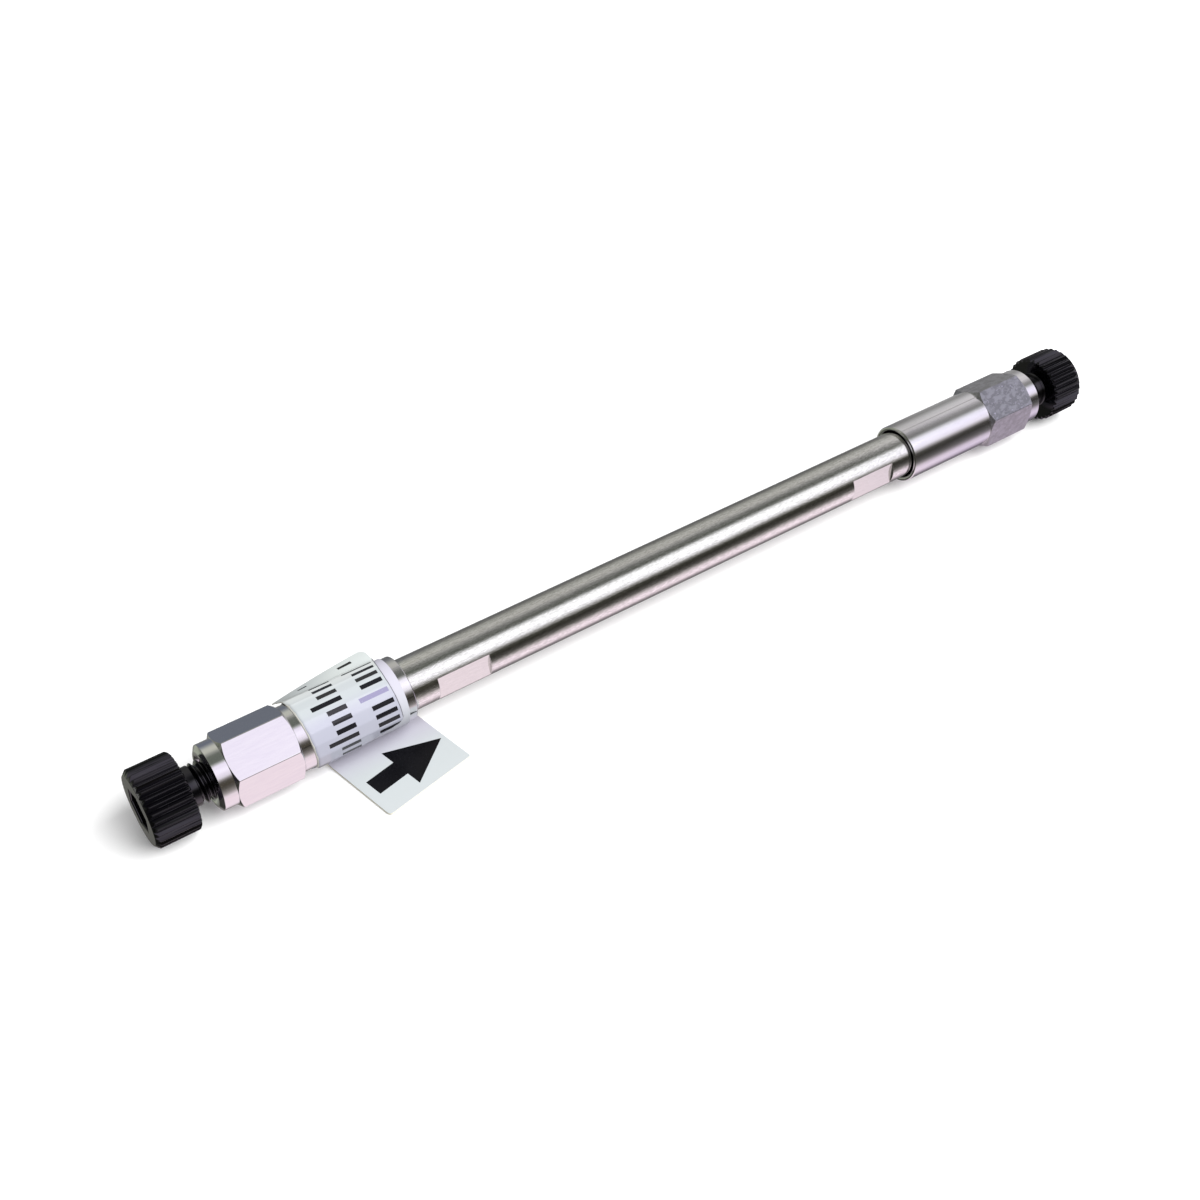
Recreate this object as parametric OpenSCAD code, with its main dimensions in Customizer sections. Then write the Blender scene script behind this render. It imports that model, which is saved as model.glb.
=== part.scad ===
// Packed liquid-chromatography column with its two shipping plugs, lying on a flat surface.
// +X runs along the axis in the direction of flow and +Z is up.
// The origin is on the axis, in the plane of the inlet fitting's outer face.

/* [Tube] */
// Length of the tube, which is also the length of the packed bed
tube_len = 100; // [50:5:250]
// Outside diameter of the tube
tube_od = 6.35; // [6:0.05:6.7]
// Diameter of the tube's bore
bore_d = 4.6; // [2:0.1:4.8]
// Distance across the pair of wrench flats near each end of the tube
flat_af = 5.45; // [5.2:0.05:5.9]
// Length of the wrench flats
flat_len = 7; // [4:0.5:12]
// Bare tube between the mouth of a fitting's sleeve and the wrench flats
flat_gap = 3.4; // [1:0.1:8]

/* [End fittings] */
// Diameter of the collar and the sleeve, turned from the hexagonal bar
turned_d = 7.9; // [7.7:0.05:8.3]
// Length of the collar round the port
collar_len = 2; // [1:0.1:4]
// Hexagon across its flats
hex_af = 8; // [7.9:0.1:9]
// Length of the hexagon
hex_len = 8; // [5:0.5:12]
// Length of the sleeve that covers the end of the tube
sleeve_len = 14.3; // [10:0.1:20]
// Width of the bevel round the collar's outer face, measured along the radius
collar_bevel = 0.65; // [0.3:0.05:0.8]
// Angle of the bevels on the collar and the hexagon, from the flat face
bevel_angle = 30; // [20:1:40]
// How far the inlet hexagon is turned about the axis
inlet_hex_turn = 5; // [-30:0.1:30]
// How far the outlet hexagon is turned about the axis
outlet_hex_turn = 5.4; // [-30:0.1:30]
// Diameter of the recess in the sleeve's mouth
mouth_d = 6.8; // [6.6:0.05:7.4]
// Depth of the recess in the sleeve's mouth
mouth_depth = 2.3; // [1:0.1:4]
// Bevel on the inner edge of the sleeve's mouth
mouth_bevel = 0.12; // [0.05:0.01:0.15]
// Radial clearance between the tube and the bore that holds it
tube_fit = 0.02; // [0.01:0.005:0.04]

/* [Port] */
// Outside diameter of the plug's thread
thread_d = 4.83; // [4.7:0.01:5]
// Radial clearance between the plug's thread and the port
thread_fit = 0.035; // [0.02:0.005:0.08]
// Diameter of the countersink at the mouth of the port
port_mouth_d = 5.8; // [5.4:0.1:6.2]
// Depth of the threaded part of the port
port_depth = 6; // [5:0.1:6.5]
// Diameter of the wide end of the sealing cone
cone_d = 3.8; // [3:0.1:4]
// Half angle of the sealing cone
cone_half_angle = 20; // [18:1:25]
// Diameter of the pilot hole behind the cone
pilot_d = 1.6; // [1:0.1:1.8]
// Length of the pilot hole
pilot_len = 1.2; // [0.5:0.1:2]
// Diameter of the capillary hole that leads to the frit
capillary_d = 0.6; // [0.3:0.05:0.9]
// Length of the capillary hole
capillary_len = 1.5; // [0.8:0.1:3]

/* [Frits] */
// Thickness of a frit and its sealing ring
frit_len = 1.4; // [1:0.1:2]
// Diameter of the porous frit disc
frit_d = 5; // [4.9:0.05:5.4]
// Radial clearance of the frit, its ring and the bed in their seats
frit_fit = 0.01; // [0.005:0.005:0.02]

/* [Plugs] */
// Outside diameter of the fluted head
head_d = 9.3; // [9.26:0.02:10]
// Length of the fluted head
head_len = 5.2; // [4:0.1:8]
// Number of flutes round the head
flutes = 32; // [24:1:40]
// Depth of the flutes
flute_depth = 0.26; // [0.2:0.02:0.45]
// Chamfer round the head's outer face
head_chamfer = 0.5; // [0.3:0.05:0.7]
// Chamfer round the head's inner face
head_back_chamfer = 0.25; // [0.1:0.05:0.4]
// Hexagonal socket in the head, across its flats
socket_af = 4.4; // [3:0.1:5]
// Depth of the hexagonal socket
socket_depth = 3; // [1.5:0.1:3.5]
// How far the socket is turned about the axis
socket_turn = 12; // [-30:1:30]
// Space between the head and the fitting's outer face
head_gap = 2.55; // [2:0.05:4]
// Diameter of the smooth neck under the head
neck_d = 4.7; // [4:0.05:4.8]
// Length of the smooth neck
neck_len = 1.2; // [0.6:0.1:1.6]
// Length of thread inside the port
plug_reach = 5.6; // [3:0.1:5.8]
// Radial clearance between the plug's tip and the sealing cone
tip_fit = 0.05; // [0.03:0.01:0.08]

/* [Flow tag] */
// Distance from the inlet face to the tag's edge on top of the sleeve
tag_from = 11; // [10.5:0.1:12]
// Width of the tag
tag_w = 12.1; // [6:0.1:12.5]
// Thickness of one layer of label
paper_t = 0.12; // [0.08:0.01:0.2]
// Thickness of the flag, which is doubled over
flag_t = 0.25; // [0.15:0.01:0.4]
// Length of the flag from the vertical plane through the axis
flag_len = 11.5; // [6:0.1:16]
// How far the flag leans towards the outlet
flag_skew = 11.3; // [0:0.1:20]
// How far the flag's middle, under the axis, lies towards the outlet from the tag's
flag_shift = 2; // [1:0.1:3]
// Radius of the flag's corners
flag_corner = 0.5; // [0.2:0.1:1.5]
// Air between a layer of label and what it is wrapped on
paper_gap = 0.03; // [0.02:0.01:0.06]

/* [Wrapped label] */
// Distance from the inlet face to the label's edge
label_from = 10.7; // [10.2:0.1:12]
// Width of the label
label_w = 10.9; // [6:0.1:12.5]
// Length of the loose end that stands off behind the sleeve
loose_len = 1.9; // [1:0.1:6]
// Angle at which the loose end leaves the sleeve, at the edge nearer the inlet
lift_near = 16; // [5:1:40]
// The same angle at the edge nearer the outlet
lift_far = 68; // [20:1:75]
// Bend of the loose end in degrees for each millimetre, at the edge nearer the inlet
curl_near = 2; // [1:0.5:10]
// The same bend at the edge nearer the outlet
curl_far = 7; // [4:0.5:20]
// How far the label creeps towards the outlet in one quarter turn
label_creep = 0.4; // [0:0.05:0.6]

/* [Hidden] */
$fn = 96;

tube_r = tube_od / 2;
turned_r = turned_d / 2;
head_r = head_d / 2;
port_r = thread_d / 2 + thread_fit;

// Stations along a fitting, measured inwards from its outer face.
hex_start = collar_len;
hex_end = hex_start + hex_len;
sleeve_end = hex_end + sleeve_len;
cone_len = (cone_d - pilot_d) / 2 / tan(cone_half_angle);
cone_end = port_depth + cone_len;
pilot_end = cone_end + pilot_len;
frit_start = pilot_end + capillary_len;
tube_start = frit_start + frit_len;
mouth_start = sleeve_end - mouth_depth;
column_len = tube_len + 2 * tube_start;

// Hexagon corner radius, and the circle from which its corners are bevelled.
hex_corner_r = hex_af / sqrt(3);
hex_bevel_share = 0.985;
hex_bevel_r = hex_af / 2 * hex_bevel_share;
// Reach of a cutting shape past the face that it cuts.
past = 1;

// Shares of one flute's pitch taken by the crest and by the valley's floor.
crest_share = 0.14;
valley_share = 0.12;
flute_pitch = 360 / flutes;
thread_lead_in = 0.3;
neck_fillet = 0.15;

// Labels: angles run about the axis from straight down, and positive ones go to the back.
tag_r = turned_r + paper_gap;
label_r = tag_r + paper_t + paper_gap;
tag_start_angle = -28;
tag_leave_angle = 20;
label_start_angle = -64;
crease_angle = -228;
wrap_steps = 60;
loose_steps = 14;
flag_clearance = 0.02;
// The tag creeps towards the outlet both ways from this angle, by so many millimetres
// for the square of the quarter turns.
creep_from_angle = -205;
creep_to_front = 0.022;
creep_to_flag = 0.75;
flag_bottom = -head_r + flag_clearance;
flag_top = flag_bottom + flag_t;
flag_root = 1.5;
flag_mid_x = tag_from + tag_w / 2 + flag_shift;

// Puts a shape drawn inwards from an outer face at the inlet or the outlet end.
module at_inlet() {
    rotate([0, 90, 0])
        children();
}

module at_outlet() {
    translate([column_len, 0, 0])
        rotate([0, -90, 0])
            children();
}

module ring_disc(outer_r, inner_r, from, to) {
    difference() {
        translate([0, 0, from])
            cylinder(r = outer_r, h = to - from);
        translate([0, 0, from - past])
            cylinder(r = inner_r, h = to - from + 2 * past);
    }
}

module column_tube() {
    color("silver")
        difference() {
            at_inlet()
                ring_disc(tube_r, bore_d / 2, tube_start, column_len - tube_start);
            for (start = [sleeve_end + flat_gap, column_len - sleeve_end - flat_gap - flat_len])
                wrench_flats(start);
        }
}

// Two slabs cut away from the front and the back of the tube.
module wrench_flats(start) {
    for (side = [-1, 1])
        translate([start, side * (flat_af + tube_od) / 2 - tube_od / 2, -tube_od])
            cube([flat_len, tube_od, 2 * tube_od]);
}

module packed_bed() {
    color("white")
        at_inlet()
            translate([0, 0, tube_start])
                cylinder(r = bore_d / 2 - frit_fit, h = tube_len);
}

// Collar and sleeve as one turned profile.
module turned_body() {
    rotate_extrude()
        polygon([
            [0, 0],
            [turned_r - collar_bevel, 0],
            [turned_r, collar_bevel * tan(bevel_angle)],
            [turned_r, sleeve_end - mouth_bevel],
            [turned_r - mouth_bevel, sleeve_end],
            [0, sleeve_end]
        ]);
}

// The part of the bar left hexagonal, its corners bevelled at both ends.
module bevelled_hexagon(turn) {
    bevel_r = hex_corner_r + past;
    bevel_rise = (bevel_r - hex_bevel_r) * tan(bevel_angle);
    intersection() {
        rotate([0, 0, turn])
            translate([0, 0, hex_start])
                cylinder(r = hex_corner_r, h = hex_len, $fn = 6);
        rotate_extrude()
            polygon([
                [0, hex_start],
                [hex_bevel_r, hex_start],
                [bevel_r, hex_start + bevel_rise],
                [bevel_r, hex_end - bevel_rise],
                [hex_bevel_r, hex_end],
                [0, hex_end]
            ]);
    }
}

// Port, sealing cone, pilot, capillary, frit seat, tube seat and mouth as one turned hole.
module through_bore() {
    mouth_rise = port_mouth_d / 2 - port_r;
    seat_r = tube_r + tube_fit;
    rotate_extrude()
        polygon([
            [0, -past],
            [port_mouth_d / 2 + past, -past],
            [port_r, mouth_rise],
            [port_r, port_depth],
            [cone_d / 2, port_depth],
            [pilot_d / 2, cone_end],
            [pilot_d / 2, pilot_end],
            [capillary_d / 2, pilot_end],
            [capillary_d / 2, frit_start],
            [seat_r, frit_start],
            [seat_r, mouth_start],
            [mouth_d / 2, mouth_start],
            [mouth_d / 2, sleeve_end - mouth_bevel],
            [mouth_d / 2 + mouth_bevel, sleeve_end],
            [mouth_d / 2 + mouth_bevel, sleeve_end + past],
            [0, sleeve_end + past]
        ]);
}

module end_fitting(turn) {
    difference() {
        union() {
            turned_body();
            bevelled_hexagon(turn);
        }
        through_bore();
    }
}

module inlet_end_fitting() {
    color("lightgray")
        at_inlet()
            end_fitting(inlet_hex_turn);
}

module outlet_end_fitting() {
    color("lightgray")
        at_outlet()
            end_fitting(-outlet_hex_turn);
}

module frit() {
    translate([0, 0, frit_start])
        cylinder(r = frit_d / 2 - frit_fit, h = frit_len);
}

module frit_ring() {
    ring_disc(tube_r, frit_d / 2, frit_start, tube_start);
}

module inlet_frit() {
    color("darkgray")
        at_inlet()
            frit();
}

module outlet_frit() {
    color("darkgray")
        at_outlet()
            frit();
}

module inlet_frit_ring() {
    color("ivory")
        at_inlet()
            frit_ring();
}

module outlet_frit_ring() {
    color("ivory")
        at_outlet()
            frit_ring();
}

// Corner of the fluted outline at a share of the pitch.
function flute_point(i, share, r) =
    let (angle = (i + share) * flute_pitch)
    [r * cos(angle), r * sin(angle)];

module fluted_outline() {
    floor_r = head_r - flute_depth;
    valley_from = 0.5 - valley_share / 2;
    valley_to = 0.5 + valley_share / 2;
    polygon([
        for (i = [0 : flutes - 1])
            each [
                flute_point(i, -crest_share / 2, head_r),
                flute_point(i, crest_share / 2, head_r),
                flute_point(i, valley_from, floor_r),
                flute_point(i, valley_to, floor_r)
            ]
    ]);
}

// Fluted head, cut to a turned blank that chamfers both of its rims.
module fluted_head() {
    head_back = -head_gap;
    head_face = head_back - head_len;
    blank_r = head_r + past;
    face_rise = head_chamfer + past;
    back_rise = head_back_chamfer + past;
    difference() {
        intersection() {
            translate([0, 0, head_face])
                linear_extrude(height = head_len)
                    fluted_outline();
            rotate_extrude()
                polygon([
                    [0, head_face],
                    [head_r - head_chamfer, head_face],
                    [blank_r, head_face + face_rise],
                    [blank_r, head_back - back_rise],
                    [head_r - head_back_chamfer, head_back],
                    [0, head_back]
                ]);
        }
        rotate([0, 0, socket_turn])
            translate([0, 0, head_face - past])
                cylinder(r = socket_af / sqrt(3), h = socket_depth + past, $fn = 6);
    }
}

// Neck, thread and sealing tip as one turned profile.
module plug_stem() {
    neck_r = neck_d / 2;
    thread_r = thread_d / 2;
    neck_end = -head_gap + neck_len;
    tip_offset = tip_fit / cos(cone_half_angle);
    tip_r = cone_d / 2 - tip_offset;
    tip_end_r = pilot_d / 2 - tip_fit;
    tip_len = (tip_r - tip_end_r) / tan(cone_half_angle);
    rotate_extrude()
        polygon([
            [0, -head_gap - head_back_chamfer],
            [neck_r + neck_fillet, -head_gap - head_back_chamfer],
            [neck_r + neck_fillet, -head_gap],
            [neck_r, -head_gap + neck_fillet],
            [neck_r, neck_end],
            [thread_r, neck_end + thread_lead_in],
            [thread_r, plug_reach - thread_lead_in],
            [thread_r - thread_lead_in, plug_reach],
            [tip_r, plug_reach],
            [tip_r, port_depth],
            [tip_end_r, port_depth + tip_len],
            [0, port_depth + tip_len]
        ]);
}

module plug() {
    union() {
        fluted_head();
        plug_stem();
    }
}

module inlet_plug() {
    color("#1c1c20")
        at_inlet()
            plug();
}

module outlet_plug() {
    color("#1c1c20")
        at_outlet()
            plug();
}

// An edge station holds [x, y, z, outward y, outward z] for the inner face of a strip.
function wrapped_station(x, r, angle) =
    [x, r * sin(angle), -r * cos(angle), sin(angle), -cos(angle)];

// Stations of a loose end that leaves a round wrap with a lift and then curls back to it.
function loose_station(x, r, angle, lift, curl, length) =
    let (
        bend_r = 180 / (PI * curl),
        heading = lift - curl * length,
        run = bend_r * (sin(lift) - sin(heading)),
        rise = bend_r * (cos(heading) - cos(lift)),
        along = [-cos(angle), -sin(angle)],
        out = [sin(angle), -cos(angle)],
        place = r * out + run * along + rise * out,
        facing = cos(heading) * out - sin(heading) * along
    )
    [x, place[0], place[1], facing[0], facing[1]];

function station_point(s, t) = [s[0], s[1] + t * s[3], s[2] + t * s[4]];

// A strip of even thickness between two edges with the same number of stations.
module strip(near, far, t) {
    n = len(near);
    points = [
        for (s = near) station_point(s, 0),
        for (s = near) station_point(s, t),
        for (s = far) station_point(s, 0),
        for (s = far) station_point(s, t)
    ];
    near_in = 0;
    near_out = n;
    far_in = 2 * n;
    far_out = 3 * n;
    polyhedron(points = points, faces = [
        for (i = [0 : n - 2]) each concat(
            quad(near_in + i, near_in + i + 1, far_in + i + 1, far_in + i),
            quad(near_out + i, far_out + i, far_out + i + 1, near_out + i + 1),
            quad(near_in + i, near_out + i, near_out + i + 1, near_in + i + 1),
            quad(far_in + i, far_in + i + 1, far_out + i + 1, far_out + i)
        ),
        each quad(near_in, far_in, far_out, near_out),
        each quad(near_in + n - 1, near_out + n - 1, far_out + n - 1, far_in + n - 1)
    ]);
}

function quad(a, b, c, d) = [[a, c, b], [a, d, c]];

// Creep of the tag: least over the top, most where it meets the flag.
function tag_creep(angle) =
    let (turned = (angle - creep_from_angle) / 90)
    turned * turned * (angle < creep_from_angle ? creep_to_flag : creep_to_front);

function tag_edge(x) = concat(
    [
        for (i = [0 : wrap_steps])
            let (angle = tag_start_angle + (tag_leave_angle - 360 - tag_start_angle) * i / wrap_steps)
            wrapped_station(x + tag_creep(angle), tag_r, angle)
    ],
    [tag_foot(x + tag_creep(tag_leave_angle - 360))]
);

// Last station, where the tag's slope runs into the top of the flag.
function tag_foot(x) =
    let (
        drop = flag_top - flag_t / 2 + tag_r * cos(tag_leave_angle),
        slope_len = -drop / sin(tag_leave_angle),
        side = sin(tag_leave_angle)
    )
    [
        x + slope_len * tan(flag_skew),
        tag_r * side - slope_len * cos(tag_leave_angle),
        flag_top - flag_t / 2,
        side,
        -cos(tag_leave_angle)
    ];

// The flag lies flat and runs back under the sleeve to meet the tag.
module flag() {
    translate([flag_mid_x, 0, flag_bottom])
        rotate([0, 0, flag_skew])
            linear_extrude(height = flag_t)
                difference() {
                    translate([-tag_w / 2, -flag_len])
                        square([tag_w, flag_len + flag_root]);
                    for (side = [-1, 1])
                        translate([side * tag_w / 2, -flag_len])
                            corner_cut(-side);
                }
}

// What a rounded corner takes off a square one.
module corner_cut(side) {
    difference() {
        translate([side < 0 ? -flag_corner : -past, -past])
            square([flag_corner + past, flag_corner + past]);
        translate([side * flag_corner, flag_corner])
            circle(r = flag_corner, $fn = 32);
    }
}

module flow_tag() {
    color("whitesmoke")
        union() {
            strip(tag_edge(tag_from), tag_edge(tag_from + tag_w), paper_t);
            flag();
        }
}

function label_edge(x, lift, curl) = concat(
    [
        for (i = [0 : wrap_steps - 1])
            let (angle = label_start_angle + (crease_angle - label_start_angle) * i / wrap_steps)
            wrapped_station(x + label_shift(angle), label_r, angle)
    ],
    [
        for (i = [0 : loose_steps])
            let (length = loose_len * i / loose_steps)
            loose_station(x + label_shift(crease_angle), label_r, crease_angle, lift, curl, length)
    ]
);

function label_shift(angle) = label_creep * (angle - crease_angle) / 90;

module wrapped_label() {
    color("white")
        strip(
            label_edge(label_from, lift_near, curl_near),
            label_edge(label_from + label_w, lift_far, curl_far),
            paper_t
        );
}

column_tube();
packed_bed();
inlet_end_fitting();
outlet_end_fitting();
inlet_frit();
outlet_frit();
inlet_frit_ring();
outlet_frit_ring();
inlet_plug();
outlet_plug();
flow_tag();
wrapped_label();
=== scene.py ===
import math

import bmesh
import bpy
from mathutils import Matrix, Vector


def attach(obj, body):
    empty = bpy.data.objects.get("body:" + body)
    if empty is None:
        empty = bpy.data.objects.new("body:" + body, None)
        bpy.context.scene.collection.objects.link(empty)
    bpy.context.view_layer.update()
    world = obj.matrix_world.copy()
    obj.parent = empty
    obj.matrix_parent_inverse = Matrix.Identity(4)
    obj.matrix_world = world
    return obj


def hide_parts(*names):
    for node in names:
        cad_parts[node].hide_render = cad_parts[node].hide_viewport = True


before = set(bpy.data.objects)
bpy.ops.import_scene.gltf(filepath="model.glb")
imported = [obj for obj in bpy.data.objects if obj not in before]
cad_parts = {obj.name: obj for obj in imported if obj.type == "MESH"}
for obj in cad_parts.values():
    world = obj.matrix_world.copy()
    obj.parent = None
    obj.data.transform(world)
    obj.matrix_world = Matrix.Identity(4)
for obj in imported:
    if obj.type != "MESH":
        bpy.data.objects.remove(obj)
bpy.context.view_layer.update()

# A chromatography column with its shipping plugs in, its label and its flow tag. Each visible
# piece is made again over its CAD body, with x along the column from its inlet.

# In metres: a millimetre, how close points lie that are welded, and what counts as no length.
MM = 0.001
WELD = 1e-6
TINY = 1e-7

# Sizes are in millimetres and match the CAD part, apart from what the comments name.
# Tube, its bore and its wrench flats; the soft edge is the scene's own.
COLUMN_LEN = 126.2445
TUBE_START = 13.1225
TUBE_R = 3.175
BORE_R = 2.3
FLAT_HALF = 2.725
FLAT_LEN = 7.0
FLAT_GAP = 3.4
FLAT_STEP = 0.012
TUBE_EDGE = 0.03
# End fittings; the soft edges, the turns of thread and their liner are the scene's own.
TURNED_R = 3.95
COLLAR_LEN = 2.0
HEX_HALF = 4.0
HEX_LEN = 8.0
HEX_BEVEL_R = 3.94
SLEEVE_LEN = 14.3
COLLAR_BEVEL = 0.65
BEVEL_SLOPE = math.tan(math.radians(30))
INLET_HEX_TURN = 5.0
OUTLET_HEX_TURN = 5.4
HEX_EDGE = 0.12
FITTING_EDGE = 0.035
MOUTH_R = 3.4
MOUTH_DEPTH = 2.3
MOUTH_BEVEL = 0.12
SEAT_R = 3.195
PORT_MOUTH_R = 2.9
PORT_R = 2.45
PORT_DEPTH = 6.0
PORT_THREAD_H = 0.16
PORT_RELIEF = 0.25
LINER_T = 0.3
CONE_R = 1.9
CONE_END = 9.0224
CONE_HALF_ANGLE = 20.0
PILOT_R = 0.8
PILOT_END = 10.2224
CAPILLARY_R = 0.3
FRIT_START = 11.7224
# Shipping plugs; the flutes are cut deeper than in the CAD part, and the thread has turns.
HEAD_R = 4.65
HEAD_LEN = 5.2
HEAD_GAP = 2.55
HEAD_CHAMFER = 0.5
HEAD_BACK_CHAMFER = 0.25
FLUTES = 32
FLUTE_DEPTH = 0.48
CREST_SHARE = 2 / 27
VALLEY_SHARE = 1 / 27
SOCKET_HALF = 2.2
SOCKET_DEPTH = 3.0
SOCKET_CHAMFER = 0.12
NECK_R = 2.35
NECK_LEN = 1.2
THREAD_R = 2.415
THREAD_ROOT_R = 1.95
THREAD_PITCH = 0.794
PLUG_REACH = 5.6
TIP_GAP = 0.053
TIP_END_R = 0.75
# Flow tag and its flag.
TAG_FROM = 11.0
TAG_W = 12.1
PAPER_T = 0.12
PAPER_GAP = 0.03
FLAG_T = 0.25
FLAG_LEN = 11.5
FLAG_SKEW = 11.3
FLAG_SHIFT = 2.0
FLAG_CORNER = 0.5
FLAG_ROOT = 1.5
FLAG_EDGE = 0.03
FLAG_BOTTOM = -HEAD_R + 0.02
FLAG_TOP = FLAG_BOTTOM + FLAG_T
# Wrapped label and its loose end; lifts in degrees, curls in degrees a millimetre.
LABEL_FROM = 10.7
LABEL_W = 10.9
LOOSE_LEN = 1.9
LIFT_NEAR = 10.0
LIFT_FAR = 68.0
CURL_NEAR = 2.0
CURL_FAR = 7.0
LABEL_CREEP = 0.4
# Worked out from the sizes above.
HEX_END = COLLAR_LEN + HEX_LEN
SLEEVE_END = HEX_END + SLEEVE_LEN
TAG_R = TURNED_R + PAPER_GAP
LABEL_R = TAG_R + PAPER_T + PAPER_GAP
FLOOR_Z = -HEAD_R

# The column's front faces this way: the y and z of a direction square to its axis.
FRONT_Y = -0.669
FRONT_Z = 0.743


def shown(name, data):
    """Puts a mesh, a light or a camera in the scene as an object of its own."""
    thing = bpy.data.objects.new(name, data)
    bpy.context.scene.collection.objects.link(thing)
    return thing


# ---- camera -------------------------------------------------------------

def place_camera():
    """The camera looks down on the column from the front, at the inlet's side."""
    turn, tilt, roll = (math.radians(v) for v in (25.388, 47.9, 25.363))
    sensor, width_px = 36.0, 1200
    focal_px, distance = 1542.2, 189.8
    aim = Vector((52.224, 0, 0))
    aim_px = Vector((-1.25, -6.02))
    level = Vector((0, math.cos(tilt), -math.sin(tilt)))
    ahead = Vector((math.sin(turn), 0, 0)) + math.cos(turn) * level
    along = Vector((math.cos(turn), 0, 0)) - math.sin(turn) * level
    across = -Vector((0, math.sin(tilt), math.cos(tilt)))
    right = math.cos(roll) * along + math.sin(roll) * across
    down = math.cos(roll) * across - math.sin(roll) * along
    eye = aim - distance * (ahead + (aim_px.x * right + aim_px.y * down) / focal_px)
    data = bpy.data.cameras.new("camera")
    data.sensor_width = sensor
    data.lens = focal_px * sensor / width_px
    data.clip_start = 0.005
    camera = shown("camera", data)
    axes = Matrix((right, -down, -ahead)).transposed().to_4x4()
    camera.matrix_world = Matrix.Translation(eye * MM) @ axes
    bpy.context.scene.camera = camera


# ---- node arithmetic ----------------------------------------------------

class Sum:
    """A number in a node tree, so that a rule or a pattern is written as arithmetic."""

    def __init__(self, tree, socket):
        self.tree, self.socket = tree, socket

    def math(self, kind, *others):
        node = self.tree.nodes.new("ShaderNodeMath")
        node.operation = kind
        for pin, value in zip(node.inputs, (self,) + others):
            feed(self.tree, pin, value)
        return Sum(self.tree, node.outputs[0])

    def __add__(self, other):
        return self.math("ADD", other)

    def __sub__(self, other):
        return self.math("SUBTRACT", other)

    def __mul__(self, other):
        return self.math("MULTIPLY", other)

    def __truediv__(self, other):
        return self.math("DIVIDE", other)

    def __neg__(self):
        return self.math("MULTIPLY", -1.0)

    __radd__ = __add__
    __rmul__ = __mul__

    def __rsub__(self, other):
        return -self + other

    def __abs__(self):
        return self.math("ABSOLUTE")

    def over(self, limit):
        return self.math("GREATER_THAN", limit)

    def under(self, limit):
        return self.math("LESS_THAN", limit)

    def least(self, other):
        return self.math("MINIMUM", other)

    def most(self, other):
        return self.math("MAXIMUM", other)

    def within(self, low, high):
        return self.most(low).least(high)

    def pick(self, yes, no):
        return self * (yes - no) + no

    def eased(self, low, high):
        """0 below low and 1 above high, with a soft step between."""
        node = self.tree.nodes.new("ShaderNodeMapRange")
        node.interpolation_type = "SMOOTHSTEP"
        feed(self.tree, node.inputs["Value"], self)
        node.inputs["From Min"].default_value = low
        node.inputs["From Max"].default_value = high
        return Sum(self.tree, node.outputs[0])


def feed(tree, pin, value):
    if isinstance(value, Sum):
        tree.links.new(value.socket, pin)
    else:
        pin.default_value = value


def split(tree, socket):
    """A vector's three numbers."""
    node = tree.nodes.new("ShaderNodeSeparateXYZ")
    tree.links.new(socket, node.inputs[0])
    return [Sum(tree, pin) for pin in node.outputs]


def mixed(tree, share, low, high):
    """A colour between two, each a plain colour or one that a pattern gives."""
    node = tree.nodes.new("ShaderNodeMix")
    node.data_type = "RGBA"
    feed(tree, node.inputs[0], share)
    for pin, value in ((node.inputs[6], low), (node.inputs[7], high)):
        feed(tree, pin, value if isinstance(value, Sum) else (*value, 1.0))
    return Sum(tree, node.outputs[2])


def clamped(value):
    return min(1.0, max(0.0, value))


def between(near, far, share):
    return near + (far - near) * share


def sin_deg(degrees):
    return math.sin(math.radians(degrees))


def cos_deg(degrees):
    return math.cos(math.radians(degrees))


# ---- shapes that follow a rule, in Geometry Nodes -----------------------

def rule_tree(name, sizes):
    """A tree with named sizes and a flat grid; gives each point's share of a turn and its row."""
    tree = bpy.data.node_groups.new(name, "GeometryNodeTree")
    tree.interface.new_socket("Mesh", in_out="OUTPUT", socket_type="NodeSocketGeometry")
    for label, value in sizes.items():
        kind = "NodeSocketInt" if isinstance(value, int) else "NodeSocketFloat"
        tree.interface.new_socket(label, in_out="INPUT", socket_type=kind)
    tree.interface.new_socket("Finish", in_out="INPUT", socket_type="NodeSocketMaterial")
    given = tree.nodes.new("NodeGroupInput")
    size = {label: Sum(tree, given.outputs[label]) for label in sizes}
    grid = tree.nodes.new("GeometryNodeMeshGrid")
    grid.inputs["Size X"].default_value = 1.0
    grid.inputs["Size Y"].default_value = 1.0
    feed(tree, grid.inputs["Vertices X"], size["Columns"] + 1)
    feed(tree, grid.inputs["Vertices Y"], size["Rows"])
    across, along, _ = split(tree, tree.nodes.new("GeometryNodeInputPosition").outputs[0])
    row = ((along + 0.5) * (size["Rows"] - 1) + 0.5).math("FLOOR")
    return tree, size, given, grid, across + 0.5, row


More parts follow.
